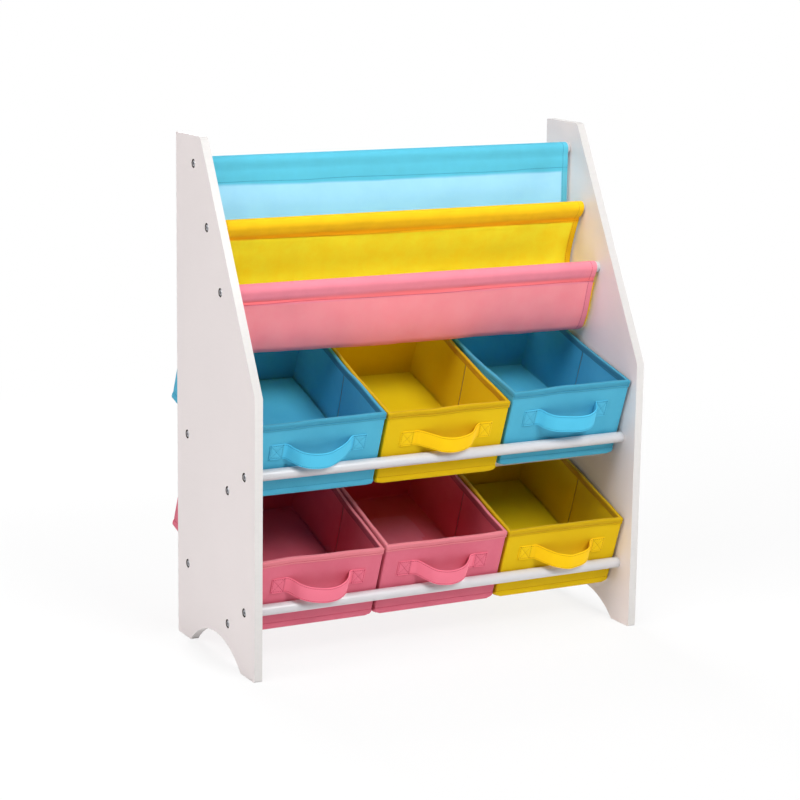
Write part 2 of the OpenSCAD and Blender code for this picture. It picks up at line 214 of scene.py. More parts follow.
def pressed_cloth(name, rgb, deep, layers_and_shade=None, seam_fold_shade=None, through=0.0, cloudy=0.5):
    """Spun cloth, bonded in a pattern of small pressed points. deep is its colour in the thick places.

    The third colour is where two layers lie together. On a binding's inner side it is painted shade, and
    on a sling the one layer is lighter than two, partly as painted light shining through from behind. The
    fourth colour is where a seam's turned edge lies under them, together with painted shade in the fold just
    above the seam. The piece's mark says where: 1 for two layers or painted shade, and up to 2 over a turned
    edge and its painted shade. through is how much light the cloth lets through.
    """
    f = Finish(name)
    place = f.cloth_place()
    across, along, _ = f.parts_of(place)
    turn = 2 * math.pi / BOND_PITCH
    slant = turn * math.sqrt(0.5)
    points = (((across + along) * slant).sine() * ((across - along) * slant).sine()).between(0.25, 0.85)
    fibres = f.noise(place, 420, 4, (1, 2.6, 1), 0.65)
    clouds = f.noise(place, 34, 4, roughness=0.6)
    streaks = f.noise(place, 7, 3, (6, 1, 1))
    thick = (clouds - 0.5) * cloudy + (fibres - 0.5) * 0.35 + (streaks - 0.5) * 0.25 * cloudy + 0.4
    colour = f.mix(thick.between(0.0, 0.9), tone(*rgb), tone(*deep))
    layers = 0.0
    if layers_and_shade:
        # 1 for two layers and for a binding's painted inner shade, up to 2 for a seam's turned edge and its
        # painted fold shade
        count = f.mark("layers_and_shade")
        layers = count.between(0.0, 1.0)
        two = f.mix(thick.between(0.0, 0.9), tone(*layers_and_shade), tone(*layers_and_shade, times=0.88))
        colour = f.mix(layers, colour, two)
        # The seam's turned edge, with painted shade of the fold above it
        if seam_fold_shade:
            colour = f.mix(count.between(1.0, 2.0), colour, tone(*seam_fold_shade))
    colour = f.mix(points * 0.1, colour, tone(*deep, times=0.7))
    height = fibres * 0.5 - points * 0.6 + clouds * 0.5
    normal = f.bump(height, 0.35, 0.00035)
    shader = f.surface({
        "Base Color": colour, "Roughness": 0.8 + (fibres - 0.5) * 0.2 - points * 0.12, "Normal": normal,
        "Sheen Weight": 0.05, "Sheen Roughness": 0.5, "Specular IOR Level": 0.12,
    })
    if through:
        let = f.node("ShaderNodeBsdfTranslucent", values={"Color": colour, "Normal": normal})
        shader = f.node("ShaderNodeMixShader", values={
            0: through * (1.15 - thick * 0.4) * (1 - layers * 0.45), 1: shader, 2: let,
        })
    return f.show(shader)


def thread(name, rgb):
    """Sewing thread, twisted and a little fuzzy."""
    f = Finish(name)
    place = f.object_place()
    twist = f.noise(place, 2600, 2, (1, 1, 0.4))
    colour = f.mix(twist.between(0.2, 0.8), tone(*rgb, times=0.8), tone(*rgb))
    return f.show(f.surface({
        "Base Color": colour, "Roughness": 0.6 + twist * 0.2, "Normal": f.bump(twist, 0.4, 0.0001),
        "Specular IOR Level": 0.1,
    }))


def paint(name, rgb, shine, peel, grain=0.0, drilled_and_shaded=None, sawn_and_shaded=None):
    """Sprayed paint, with the slight unevenness that spraying leaves.

    Bare board shows in holes, painted darker than bare board as shade in the recess. A board's edges get a
    darker tone, partly the paint that they soak up and partly painted shade.
    """
    f = Finish(name)
    place = f.object_place()
    skin = f.noise(place, peel, 2)
    broad = f.noise(place, 5, 3)
    fibre = f.noise(place, 60, 4, (1, 1, 6), 0.7)
    colour = f.mix(broad.between(0.3, 0.7), tone(*rgb, times=0.975), tone(*rgb))
    colour = f.mix(fibre.between(0.35, 0.9) * 0.25, colour, tone(*rgb, times=0.93))
    height = skin * 0.7 + fibre * grain
    bare = 0.0
    # Edges darker, partly painted shade
    if sawn_and_shaded:
        edge = f.mix(fibre.between(0.3, 0.8), tone(*sawn_and_shaded), tone(*sawn_and_shaded, times=0.96))
        colour = f.mix(f.mark("sawn_and_shaded"), colour, edge)
    # Bare board in the holes, painted darker as shade in the recess
    if drilled_and_shaded:
        bare = f.mark("drilled_and_shaded")
        chips = f.noise(place, 900, 3)
        colour = f.mix(bare, colour, f.mix(chips, tone(*drilled_and_shaded, times=0.7), tone(*drilled_and_shaded)))
    return f.show(f.surface({
        "Base Color": colour, "Roughness": shine + (skin - 0.5) * 0.12 + (broad - 0.5) * 0.1 + bare * 0.4,
        "Normal": f.bump(height, 0.12, 0.0004), "Specular IOR Level": 0.45,
    }))


def plated_steel(name, rgb):
    """Zinc plating, turned and a little stained."""
    f = Finish(name)
    place = f.object_place()
    turned = f.noise(place, 900, 3, (0.15, 1, 1))
    stains = f.noise(place, 120, 3)
    colour = f.mix(stains.between(0.3, 0.75), tone(*rgb), tone(*rgb, times=0.78))
    return f.show(f.surface({
        "Base Color": colour, "Metallic": 1.0, "Roughness": 0.26 + turned * 0.16 + stains * 0.08,
        "Normal": f.bump(turned, 0.25, 0.00012),
    }))


def moulded_plastic(name, rgb):
    """Moulded plastic, finely sparked, with the flow of the melt."""
    f = Finish(name)
    place = f.object_place()
    spark = f.noise(place, 700, 3)
    flow = f.noise(place, 40, 2, (0.3, 1, 1))
    colour = f.mix(flow.between(0.3, 0.7), tone(*rgb), tone(*rgb, times=0.86))
    return f.show(f.surface({
        "Base Color": colour, "Roughness": 0.5 + spark * 0.15, "Normal": f.bump(spark, 0.3, 0.0001),
    }))


def grey_card(name, rgb):
    """Grey board of waste paper, with dark specks."""
    f = Finish(name)
    place = f.object_place()
    fibre = f.noise(place, 300, 5, (1, 0.35, 1), 0.7)
    specks = f.noise(place, 900, 2).between(0.68, 0.75)
    colour = f.mix(fibre.between(0.3, 0.7), tone(*rgb), tone(*rgb, times=0.8))
    colour = f.mix(specks * 0.5, colour, tone(70, 64, 58))
    return f.show(f.surface({
        "Base Color": colour, "Roughness": 0.85 + (fibre - 0.5) * 0.15, "Normal": f.bump(fibre, 0.3, 0.0003),
    }))


def cloths(part, **looks):
    """The same cloth in each of the unit's colours."""
    return {colour: pressed_cloth(f"{colour}_{part}_cloth", *look) for colour, look in looks.items()}


# The holes' bare board and the edges' tone are darker than board and paint, partly as painted shade
PANEL_PAINT = paint(
    "panel_paint", (238, 228, 227), 0.36, 420, grain=0.25, drilled_and_shaded=(70, 54, 44), sawn_and_shaded=(214, 211, 209)
)
TUBE_PAINT = paint("tube_paint", (210, 210, 213), 0.3, 700)
STEEL = plated_steel("screw_steel", (176, 176, 180))
PLUG = moulded_plastic("plug_plastic", (92, 92, 94))
CARD = grey_card("board_card", (150, 145, 136))
# Sling colours: one layer, its deeper tone, two layers, and the seam's turned edge. The blue's one layer is
# much lighter than two, partly painted light shining through from behind, and the turned edge colour also
# holds painted shade of the fold above the seam
SLING_CLOTH = cloths(
    "sling",
    blue=((192, 236, 250), (178, 229, 249), (104, 214, 239), None, 0.36, 0.8),
    yellow=((252, 243, 52), (251, 225, 28), (255, 205, 24), (242, 165, 4), 0.03, 1.2),
    pink=((255, 158, 165), (255, 142, 152), (253, 146, 164), (255, 125, 130), 0.04, 0.8),
)
BIN_CLOTH = cloths(
    "bin", blue=((88, 183, 213), (71, 168, 201)), yellow=((230, 193, 13), (223, 183, 5)),
    pink=((223, 119, 139), (214, 99, 122)),
)
LINING_CLOTH = cloths(
    "lining", blue=((79, 177, 216), (64, 161, 204)), yellow=((230, 199, 9), (225, 188, 3)),
    pink=((222, 105, 122), (212, 86, 108)),
)
# A binding's third colour is painted shade for its inner side, inside the bin
BINDING_CLOTH = cloths(
    "binding", blue=((72, 157, 184), (59, 144, 175), (53, 128, 159)),
    yellow=((203, 166, 6), (198, 157, 3), (193, 149, 2)),
    pink=((224, 132, 141), (216, 116, 129), (173, 77, 93)),
)
STRAP_CLOTH = cloths(
    "strap", blue=((90, 201, 236), (75, 187, 226), (88, 189, 222)),
    yellow=((255, 210, 15), (250, 196, 6), (248, 206, 15)),
    pink=((243, 130, 151), (237, 113, 138), (233, 118, 141)),
)
THREADS = {
    colour: thread(f"{colour}_thread", rgb)
    for colour, rgb in (("blue", (36, 132, 178)), ("yellow", (196, 140, 0)), ("pink", (190, 40, 76)))
}

# Meshes


def piece(name, points, faces, material, cut, crisp=35, layers_and_shade=None):
    """A piece of cloth. cut gives each face corner's place on the cloth when it lies flat."""
    mesh = bpy.data.meshes.new(name)
    mesh.from_pydata((np.asarray(points, float) * MM).tolist(), [], faces)
    mesh.uv_layers.new(name="cut").data.foreach_set("uv", (np.asarray(cut, float) * MM).ravel())
    if layers_and_shade is not None:
        marks = mesh.attributes.new("layers_and_shade", "FLOAT", "POINT").data
        marks.foreach_set("value", np.asarray(layers_and_shade, np.float32))
    mesh.materials.append(material)
    mesh.shade_smooth()
    mesh.set_sharp_from_angle(angle=math.radians(crisp))
    return add_object(name, mesh)


def volume_of(points, faces):
    total = 0.0
    for face in faces:
        corners = points[list(face)]
        for i in range(1, len(corners) - 1):
            total += float(np.dot(corners[0], np.cross(corners[i], corners[i + 1])))
    return total


def loft(rings, close=False):
    """Points and faces of a closed skin through a row of closed rings, facing outwards."""
    rings = np.asarray(rings, float)
    count, around = rings.shape[:2]
    points = rings.reshape(-1, rings.shape[2])
    step = np.arange(around)
    nxt = (step + 1) % around
    faces = []
    for i in range(count if close else count - 1):
        a, b = i * around, (i + 1) % count * around
        faces += np.stack([a + step, a + nxt, b + nxt, b + step], 1).tolist()
    if not close:
        faces += [step[::-1].tolist(), (step + (count - 1) * around).tolist()]
    if volume_of(points, faces) < 0:
        faces = [face[::-1] for face in faces]
    return points, faces


def corners_of(values, faces):
    """What each face corner gets, from what each point has."""
    return np.asarray(values)[np.concatenate([np.asarray(face) for face in faces])]


def sides_cut(points, faces):
    """Flat places for a sewn box, from which of its sides each face is on."""
    out = []
    for face in faces:
        p = points[list(face)]
        facing = np.zeros(3)
        for i in range(1, len(p) - 1):
            facing += np.cross(p[i] - p[0], p[i + 1] - p[0])
        side = int(np.argmax(np.abs(facing)))
        out.append(p[:, {0: [1, 2], 1: [0, 2], 2: [0, 1]}[side]])
    return np.concatenate(out)


# Node trees for what repeats


def new_tree(name, sizes):
    """A node tree that takes a Shape, the named sizes and a Material, with functions to fill and end it."""
    tree = bpy.data.node_groups.new(name, "GeometryNodeTree")
    tree.interface.new_socket("Shape", in_out="INPUT", socket_type="NodeSocketGeometry")
    for size in sizes:
        tree.interface.new_socket(size, in_out="INPUT", socket_type="NodeSocketFloat")
    tree.interface.new_socket("Material", in_out="INPUT", socket_type="NodeSocketMaterial")
    tree.interface.new_socket("Shape", in_out="OUTPUT", socket_type="NodeSocketGeometry")
    given = tree.nodes.new("NodeGroupInput")

    def add(kind, settings=(), values=()):
        made = tree.nodes.new(kind)
        for key, value in dict(settings).items():
            setattr(made, key, value)
        for key, value in dict(values).items():
            for one in value if isinstance(value, list) else [value]:
                if isinstance(one, bpy.types.NodeSocket):
                    tree.links.new(one, made.inputs[key])
                else:
                    made.inputs[key].default_value = one
        return made.outputs[0]

    def sum_of(operation, first, second=0.0):
        return add("ShaderNodeMath", {"operation": operation}, {0: first, 1: second})

    def end(points, instance, **more):
        """Ends the tree with the instance on each of the points."""
        spread = add("GeometryNodeInstanceOnPoints", values={"Points": points, "Instance": instance, **more})
        real = add("GeometryNodeRealizeInstances", values={0: spread})
        dressed = add("GeometryNodeSetMaterial", values={
            "Geometry": real, "Material": given.outputs["Material"],
        })
        tree.links.new(dressed, tree.nodes.new("NodeGroupOutput").inputs[0])
        return tree

    return given.outputs, add, sum_of, end


def tube_tree():
    """A hollow tube along X, centred on each point: its wall's section goes round a circle."""
    given, add, sum_of, end = new_tree("cross_tube", ["Length", "Diameter", "Wall", "Lip"])
    middle = sum_of("MULTIPLY", sum_of("SUBTRACT", given["Diameter"], given["Wall"]), 0.5)
    circle = add("GeometryNodeCurvePrimitiveCircle", values={"Resolution": 64, "Radius": middle})
    wall = add("GeometryNodeCurvePrimitiveQuadrilateral", values={
        "Width": given["Wall"], "Height": given["Length"],
    })
    lips = add("GeometryNodeFilletCurve", {"mode": "POLY"}, {
        "Curve": wall, "Radius": given["Lip"], "Count": 3,
    })
    skin = add("GeometryNodeCurveToMesh", values={"Curve": circle, "Profile Curve": lips})
    laid = add("GeometryNodeTransform", values={"Geometry": skin, "Rotation": (0, math.pi / 2, 0)})
    return end(given["Shape"], laid)


def screw_tree():
    """Socket-head screws standing on points, heads towards +X where Side is 1 and -X where it is -1."""
    given, add, sum_of, end = new_tree("socket_screw", [
        "Head Diameter", "Head Height", "Chamfer", "Socket Width", "Socket Depth", "Shank Diameter",
        "Shank Length", "Side",
    ])

    def moved(mesh, height):
        up = add("ShaderNodeCombineXYZ", values={"Z": height})
        return add("GeometryNodeTransform", values={"Geometry": mesh, "Translation": up})

    def half(size):
        return sum_of("MULTIPLY", size, 0.5)

    body_h = sum_of("SUBTRACT", given["Head Height"], given["Chamfer"])
    head_r = half(given["Head Diameter"])
    body = add("GeometryNodeMeshCylinder", values={"Vertices": 40, "Radius": head_r, "Depth": body_h})
    cap = add("GeometryNodeMeshCone", values={
        "Vertices": 40, "Radius Bottom": head_r, "Depth": given["Chamfer"],
        "Radius Top": sum_of("SUBTRACT", head_r, given["Chamfer"]),
    })
    shank = add("GeometryNodeMeshCylinder", values={
        "Vertices": 24, "Radius": half(given["Shank Diameter"]), "Depth": given["Shank Length"],
    })
    whole = add("GeometryNodeMeshBoolean", {"operation": "UNION"}, {"Mesh 2": [
        moved(body, half(body_h)), moved(cap, body_h),
        moved(shank, sum_of("MULTIPLY", given["Shank Length"], -0.5)),
    ]})
    hexagon = add("GeometryNodeMeshCylinder", values={
        "Vertices": 6, "Radius": sum_of("DIVIDE", given["Socket Width"], 2 * math.cos(math.pi / 6)),
        "Depth": sum_of("MULTIPLY", given["Socket Depth"], 2.0),
    })
    cut = add("GeometryNodeMeshBoolean", {"operation": "DIFFERENCE"}, {
        "Mesh 1": whole, "Mesh 2": moved(hexagon, given["Head Height"]),
    })
    angle = sum_of("MULTIPLY", given["Side"], math.pi / 2)
    turn = add("ShaderNodeCombineXYZ", values={"Y": angle})
    turned = add("GeometryNodeTransform", values={"Geometry": cut, "Rotation": turn})
    return end(given["Shape"], turned)


def stitch_tree():
    """Stitches along the edges of a mesh, lying flat on the side that its facing attribute points to."""
    given, add, _, end = new_tree("stitch_rows", ["Pitch", "Length", "Width", "Height"])
    rows = add("GeometryNodeMeshToCurve", values={"Mesh": given["Shape"]})
    even = add("GeometryNodeResampleCurve", {"mode": "LENGTH"}, {
        "Curve": rows, "Length": given["Pitch"],
    })
    along = add("FunctionNodeAlignRotationToVector", {"axis": "X"}, {
        "Vector": add("GeometryNodeInputTangent"),
    })
    facing = add("GeometryNodeInputNamedAttribute", {"data_type": "FLOAT_VECTOR"}, {"Name": "facing"})
    flat = add("FunctionNodeAlignRotationToVector", {"axis": "Z", "pivot_axis": "X"}, {
        "Rotation": along, "Vector": facing,
    })
    bead = add("GeometryNodeMeshUVSphere", values={"Segments": 6, "Rings": 5, "Radius": 0.5})
    scale = add("ShaderNodeCombineXYZ", values={
        "X": given["Height"], "Y": given["Width"], "Z": given["Length"],
    })
    stitch = add("GeometryNodeTransform", values={
        "Geometry": bead, "Rotation": (0, math.pi / 2, 0), "Scale": scale,
    })
    return end(even, stitch, Rotation=flat)


def finished(host, name):
    """The mesh that a host's modifiers make of it. The host itself goes."""
    graph = bpy.context.evaluated_depsgraph_get()
    mesh = bpy.data.meshes.new_from_object(host.evaluated_get(graph), depsgraph=graph)
    bpy.data.objects.remove(host)
    mesh.name = name
    return mesh


def grown(name, host_mesh, tree, sizes, material, crisp=35):
    """A plain mesh of what a node tree makes from a mesh."""
    host = add_object(name + "_host", host_mesh)
    modifier = host.modifiers.new("nodes", "NODES")
    modifier.node_group = tree
    sockets = {s.name: s.identifier for s in tree.interface.items_tree if s.in_out == "INPUT"}
    for size, value in sizes.items():
        modifier[sockets[size]] = float(value)
    modifier[sockets["Material"]] = material
    host.update_tag()
    mesh = finished(host, name)
    shape = bmesh.new()
    shape.from_mesh(mesh)
    bmesh.ops.recalc_face_normals(shape, faces=shape.faces)
    shape.to_mesh(mesh)
    shape.free()
    mesh.shade_smooth()
    mesh.set_sharp_from_angle(angle=math.radians(crisp))
    return add_object(name, mesh)


STITCH_TREE = stitch_tree()
STITCH = {"Pitch": 3.1 * MM, "Length": 2.5 * MM, "Width": 0.75 * MM, "Height": 0.5 * MM}


def stitches(name, rows, colour):
    """One piece with all the rows. A row is its points, the way each one faces, and whether it closes."""
    points, edges, facing = [], [], []
    for line, normals, closed in rows:
        first = len(points)
        points += [tuple(p * MM) for p in line]
        facing += [tuple(n) for n in normals]
        edges += [(first + i, first + i + 1) for i in range(len(line) - 1)]
        if closed:
            edges.append((len(points) - 1, first))
    mesh = bpy.data.meshes.new(name + "_rows")
    mesh.from_pydata(points, edges, [])
    marks = mesh.attributes.new("facing", "FLOAT_VECTOR", "POINT").data
    marks.foreach_set("vector", np.array(facing, np.float32).ravel())
    return grown(name, mesh, STITCH_TREE, STITCH, THREADS[colour], crisp=180)


# Side panels, tubes, plugs and screws


def merged_copy(node):
    """A hard piece's shape, with its doubled points merged."""
    shape = bmesh.new()
    shape.from_mesh(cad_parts[node].data)
    bmesh.ops.remove_doubles(shape, verts=shape.verts, dist=1e-5)
    return shape


def mesh_of(shape, name, material):
    mesh = bpy.data.meshes.new(name)
    shape.to_mesh(mesh)
    shape.free()
    mesh.materials.append(material)
    return mesh


def eased_copy(node, name, width, material):
    """A copy of a hard piece with its edges eased."""
    shape = merged_copy(node)
    bmesh.ops.dissolve_limit(shape, angle_limit=math.radians(0.5), verts=shape.verts, edges=shape.edges)
    mesh = mesh_of(shape, name, material)
    mesh.shade_smooth()
    host = add_object(name + "_host", mesh)
    bevel = host.modifiers.new("eased", "BEVEL")
    bevel.width, bevel.segments = width * MM, 2
    bevel.limit_method, bevel.angle_limit = "ANGLE", math.radians(40)
    broad = host.modifiers.new("broad_faces", "WEIGHTED_NORMAL")
    broad.mode, broad.weight = "FACE_AREA", 100
    return add_object(name, finished(host, name))


def mark_board(mesh, way):
    """Marks the faces that a drill has left, below the paint, and the board's cut edges: both get darker
    colours that are partly painted shade.
    """
    paint_depth, drill_r = 0.45, HEAD_DIA / 2 + 1.2
    painted = (INNER_W / 2 + PANEL_T - paint_depth) * MM
    drilled_and_shaded, sawn_and_shaded = [], []
    for face in mesh.polygons:
        x, y, z = face.center
        near = min(math.hypot(y / MM - ty - FRONT_Y, z / MM - tz) for ty, tz in TUBES.values())
        drilled_and_shaded.append(float(near < drill_r and x * way < painted))
        sawn_and_shaded.append(float(abs(face.normal.x) < 0.8))
    for name, marks in (("drilled_and_shaded", drilled_and_shaded), ("sawn_and_shaded", sawn_and_shaded)):
        mesh.attributes.new(name, "FLOAT", "FACE").data.foreach_set("value", marks)


for side, way in (("left", -1), ("right", 1)):
    panel = eased_copy(f"{side}_side_panel", f"{side}_panel", width=0.7, material=PANEL_PAINT)
    mark_board(panel.data, way)
    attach(panel, "frame")
    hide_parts(f"{side}_side_panel")

TUBE_TREE = tube_tree()
for node, (y, z) in TUBES.items():
    point = bpy.data.meshes.new(node + "_point")
    point.from_pydata([(0, (y + FRONT_Y) * MM, z * MM)], [], [])
    tube = grown(node + "_painted", point, TUBE_TREE, {
        "Length": INNER_W * MM, "Diameter": TUBE_DIA * MM, "Wall": TUBE_WALL * MM, "Lip": 0.3 * MM,
    }, TUBE_PAINT)
    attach(tube, "frame")
    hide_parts(node)

SCREW_TREE = screw_tree()
for side, way in (("left", -1), ("right", 1)):
    points = bpy.data.meshes.new(side + "_screw_points")
    under_head = (INNER_W / 2 + PANEL_T - RECESS_H) * way
    points.from_pydata([(under_head * MM, (y + FRONT_Y) * MM, z * MM) for y, z in TUBES.values()], [], [])
    screws = grown(f"{side}_screws", points, SCREW_TREE, {
        "Head Diameter": HEAD_DIA * MM, "Head Height": HEAD_H * MM, "Chamfer": 1.7 * MM,
        "Socket Width": SOCKET_AF * MM, "Socket Depth": 2.2 * MM, "Shank Diameter": SCREW_DIA * MM,
        "Shank Length": (PANEL_T - RECESS_H + SCREW_REACH) * MM, "Side": way,
    }, STEEL, crisp=25)
    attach(screws, "frame")
    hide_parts(f"{side}_panel_screws")
    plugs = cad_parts[f"{side}_tube_plugs"]
    plugs.data.materials.clear()
    plugs.data.materials.append(PLUG)

# Book sling

STEPS, FLAP_STEPS, ROUND_STEPS, FRONT_STEPS = 10, 6, 40, 7
TUBE_SEAT = TUBE_DIA / 2 + SEAT_GAP
SLING_TUBES = [np.array(TUBES[f"sling_tube_{n}"]) for n in ("top", "middle", "bottom")]
TUBE_STEP = SLING_TUBES[0] - SLING_TUBES[1]
# Each sleeve's seam, from its tube's centre
SEAMS = [
    np.array([-(TUBE_SEAT + CLOTH_T / 2), -SLEEVE_DEPTH]),
    np.array([0.128 * TUBE_STEP[0], -FRONT_SLEEVE_DEPTH]),
    np.array([0.007 * TUBE_STEP[0], -FRONT_SLEEVE_DEPTH]),
]
CLOTH_STEP = CLOTH_T + LAYER_GAP


def unit(v):
    return v / np.linalg.norm(v)


def eased_step(t):
    """0 up to 0 and 1 from 1 on, with a smooth change."""
    t = np.clip(t, 0, 1)
    return t * t * (3 - 2 * t)


def arc(centre, r, start, end, steps):
    angles = np.radians(np.linspace(start, end, steps + 1))
    return [centre + r * np.array([math.cos(t), math.sin(t)]) for t in angles]


def smooth(points):
    """A smooth curve through the points."""
    out = []
    for i in range(len(points) - 1):
        p0, p1, p2, p3 = points[max(i - 1, 0)], points[i], points[i + 1], points[min(i + 2, len(points) - 1)]
        for k in range(STEPS + (i == len(points) - 2)):
            t = k / STEPS
            out.append(
                p1 + (p2 - p0) * t / 2 + (2 * p0 - 5 * p1 + 4 * p2 - p3) * t ** 2 / 2
                + (3 * p1 - p0 - 3 * p2 + p3) * t ** 3 / 2
            )
    return out


def headings(path):
    """The way that a path runs at each of its points."""
    return np.array([unit(path[min(i + 1, len(path) - 1)] - path[max(i - 1, 0)]) for i in range(len(path))])


def sideways(path, distance):
    """A path moved to its left."""
    path = np.asarray(path, float)
    ways = headings(path)
    return path + distance * np.stack([-ways[:, 1], ways[:, 0]], 1)


def between(start, end, steps, first, last):
    """Points of a straight run that is divided into steps, from one step to before another."""
    return [start + (end - start) * k / steps for k in range(first, last)]


def sleeve(centre, seam):
    """From the flap behind the seam up round the tube and down to the seam, along the tube's tangents."""
    r = TUBE_SEAT + CLOTH_T / 2
    aim, half = math.degrees(math.atan2(seam[1], seam[0])), math.degrees(math.acos(r / np.linalg.norm(seam)))
    round_it = arc(centre, r, aim + half, aim + 360 - half, ROUND_STEPS)
    rear = between(centre + seam + [CLOTH_STEP + 0.3, 1], round_it[0], FLAP_STEPS, 0, FLAP_STEPS)
    return rear + round_it + between(round_it[-1], centre + seam, FRONT_STEPS, 1, FRONT_STEPS + 1)


def pocket_point(i, set_back, depth):
    """A point of the cloth below a tube: how many tube steps to the front, and its share of the depth."""
    return SLING_TUBES[i] + np.array([
        set_back * TUBE_STEP[0], -SLEEVE_DEPTH - depth * (POCKET_DEPTH - CLOTH_T / 2 - SLEEVE_DEPTH)
    ])


PINK_FALL = smooth([
    SLING_TUBES[2] + SEAMS[2], pocket_point(2, 0.29, 0.5), pocket_point(2, 0.51, 0.82),
    pocket_point(2, 0.66, 0.94), pocket_point(2, 0.87, 1),
])
YELLOW_FALL = smooth([
    SLING_TUBES[1] + SEAMS[1], pocket_point(1, 0.34, 0.21), pocket_point(1, 0.51, 0.556),
    pocket_point(1, 0.575, 0.85), pocket_point(2, 1.58, 0.15), pocket_point(2, 1.47, 0.6),
    pocket_point(2, 1.22, 0.92), PINK_FALL[-1] + [0, CLOTH_STEP],
])
UPPER_POCKET_END = 3 * STEPS


def blue_path():
    lining = sideways(YELLOW_FALL, CLOTH_STEP)
    front, back_y = lining[UPPER_POCKET_END], SLING_TUBES[0][0] + SEAMS[0][0]
    turn_r = (back_y - front[0]) / 2
    down = sleeve(SLING_TUBES[0], SEAMS[0])
    low = np.array([back_y, front[1]])
    fall = between(down[-1], low, 24, 1, 24)
    turn = arc(np.array([back_y - turn_r, front[1]]), turn_r, 0, -180, 20)
    return np.array(down + fall + turn + [lining[i] for i in range(UPPER_POCKET_END - 1, 0, -1)])


def yellow_path():
    lining = sideways(PINK_FALL, CLOTH_STEP)
    behind = [lining[i] for i in range(len(lining) - 2, 0, -1)]
    return np.array(sleeve(SLING_TUBES[1], SEAMS[1]) + YELLOW_FALL[1:] + behind)


def pink_path():
    return np.array(sleeve(SLING_TUBES[2], SEAMS[2]) + PINK_FALL[1:])


# Where each sleeve's front is drawn in: how far below the tube's centre, over what height and how deep
PINCHES = ((10.0, 3.2, 1.5), (16.6, 2.6, 2.4), (16.6, 2.6, 2.1))


def slack(points):
    """How hung cloth gives: a sag between the panels and slow waves, but none where it is held by a tube."""
    points = np.array(points, float)
    x, y, z = points.T
    held = np.ones(len(points))
    near_seam, pinch = np.zeros(len(points)), np.zeros(len(points))
    for centre, seam, (below, spread, depth) in zip(SLING_TUBES, SEAMS, PINCHES):
        in_front = y - centre[0] - FRONT_Y < seam[0] * (z - centre[1]) / seam[1]
        fold = np.exp(-((z - centre[1] + below) / spread) ** 2)
        pinch += in_front * fold * depth * (1 + 0.25 * np.sin(x * 0.017 + centre[1]))
        away = np.hypot(y - centre[0] - FRONT_Y, z - centre[1])
        held = np.minimum(held, eased_step((away - 12) / 34))
        near_seam = np.maximum(near_seam, np.exp(-((away - np.linalg.norm(seam)) / 6) ** 2) * (away > 10))
    across = x / SLING_W
    sag = np.cos(math.pi * across) ** 2
    wave = (
        0.9 * np.sin(x * 0.021 + z * 0.012 + 0.6) + 0.55 * np.sin(x * 0.052 - z * 0.031 + 2.1)
        + 0.3 * np.sin(x * 0.11 + z * 0.05)
    )
    points[:, 1] += held * (wave - 1.6 * sag) + pinch
    points[:, 2] += held * (0.35 * wave + 3.4 * np.clip(0.42 - across, 0, 1) - 1.0 * sag)
    points[:, 2] += near_seam * (0.8 * np.sin(x * 0.019 + z) + 0.4 * np.sin(x * 0.047 + 2 * z) - 0.8 * sag)
    return points


def gathered(x, below_seam):
    """Small puckers that sewing leaves, strongest at the seam."""
    return 0.1 * math.exp(-abs(below_seam) / 5) * (np.sin(x * 0.62) + 0.7 * np.sin(x * 1.03 + 1.0))


def sheet_rings(path, x_left, x_right, offset, thickness, columns, seam_at=None):
    """Rings round a sheet that follows a path of the side view, and their places on the flat cloth."""
    front, back = sideways(path, offset - thickness / 2), sideways(path, offset + thickness / 2)
    lengths = np.concatenate([[0], np.cumsum(np.linalg.norm(np.diff(path, axis=0), axis=1))])
    xs = np.linspace(x_left, x_right, columns)
    rings, cuts = [], []
    for i, way in enumerate(headings(path)):
        lift = np.zeros(columns)
        if seam_at is not None and lengths[i] >= lengths[seam_at] - 2:
            lift = gathered(xs, lengths[i] - lengths[seam_at])
        ring = []
        for side, order in ((front, 1), (back, -1)):
            y, z = side[i][:, None] + np.array([[way[1]], [-way[0]]]) * lift[::order]
            ring.append(np.stack([xs[::order], y + FRONT_Y, z], 1))
        rings.append(np.concatenate(ring))
        cuts.append([(x, lengths[i]) for x in rings[-1][:, 0]])
    return np.array(rings), np.array(cuts), lengths[-1]


def sheet_piece(name, rings, cuts, material, doubled_to):
    """A piece that hangs. doubled_to is how far along it the cloth lies double."""
    points, faces = loft(rings)
    flat = cuts.reshape(-1, 2)
    before_seam = doubled_to - flat[:, 1]
    aside = np.minimum(flat[:, 0].max() - flat[:, 0], flat[:, 0] - flat[:, 0].min())
    # Two layers in the sleeve and the side hems. The hems get 0.8, which is lighter than full two layers,
    # partly painted light
    layers_and_shade = np.maximum(np.clip(before_seam / 0.6, 0, 1), 0.8 * np.clip((HEM_W - aside) / 0.6, 0, 1))
    # Just above the seam the mark rises towards 2: the seam's turned edge and painted shade in the fold there
    above_edge = np.clip(before_seam - 5, 0, None)
    layers_and_shade += np.clip((before_seam - 1.5) / 1.5, 0, 1) * np.exp(-(above_edge / 5.5) ** 2)
    return piece(name, slack(points), faces, material, corners_of(flat, faces), crisp=60, layers_and_shade=layers_and_shade)


SLING = {
    # path, tube, how far the cloth has slipped to the right, how far its edges stand in
    "blue": (blue_path(), "top", 0.0, 0.0),
    "yellow": (yellow_path(), "middle", 2.4, 0.0),
    "pink": (pink_path(), "bottom", -0.4, 0.6),
}


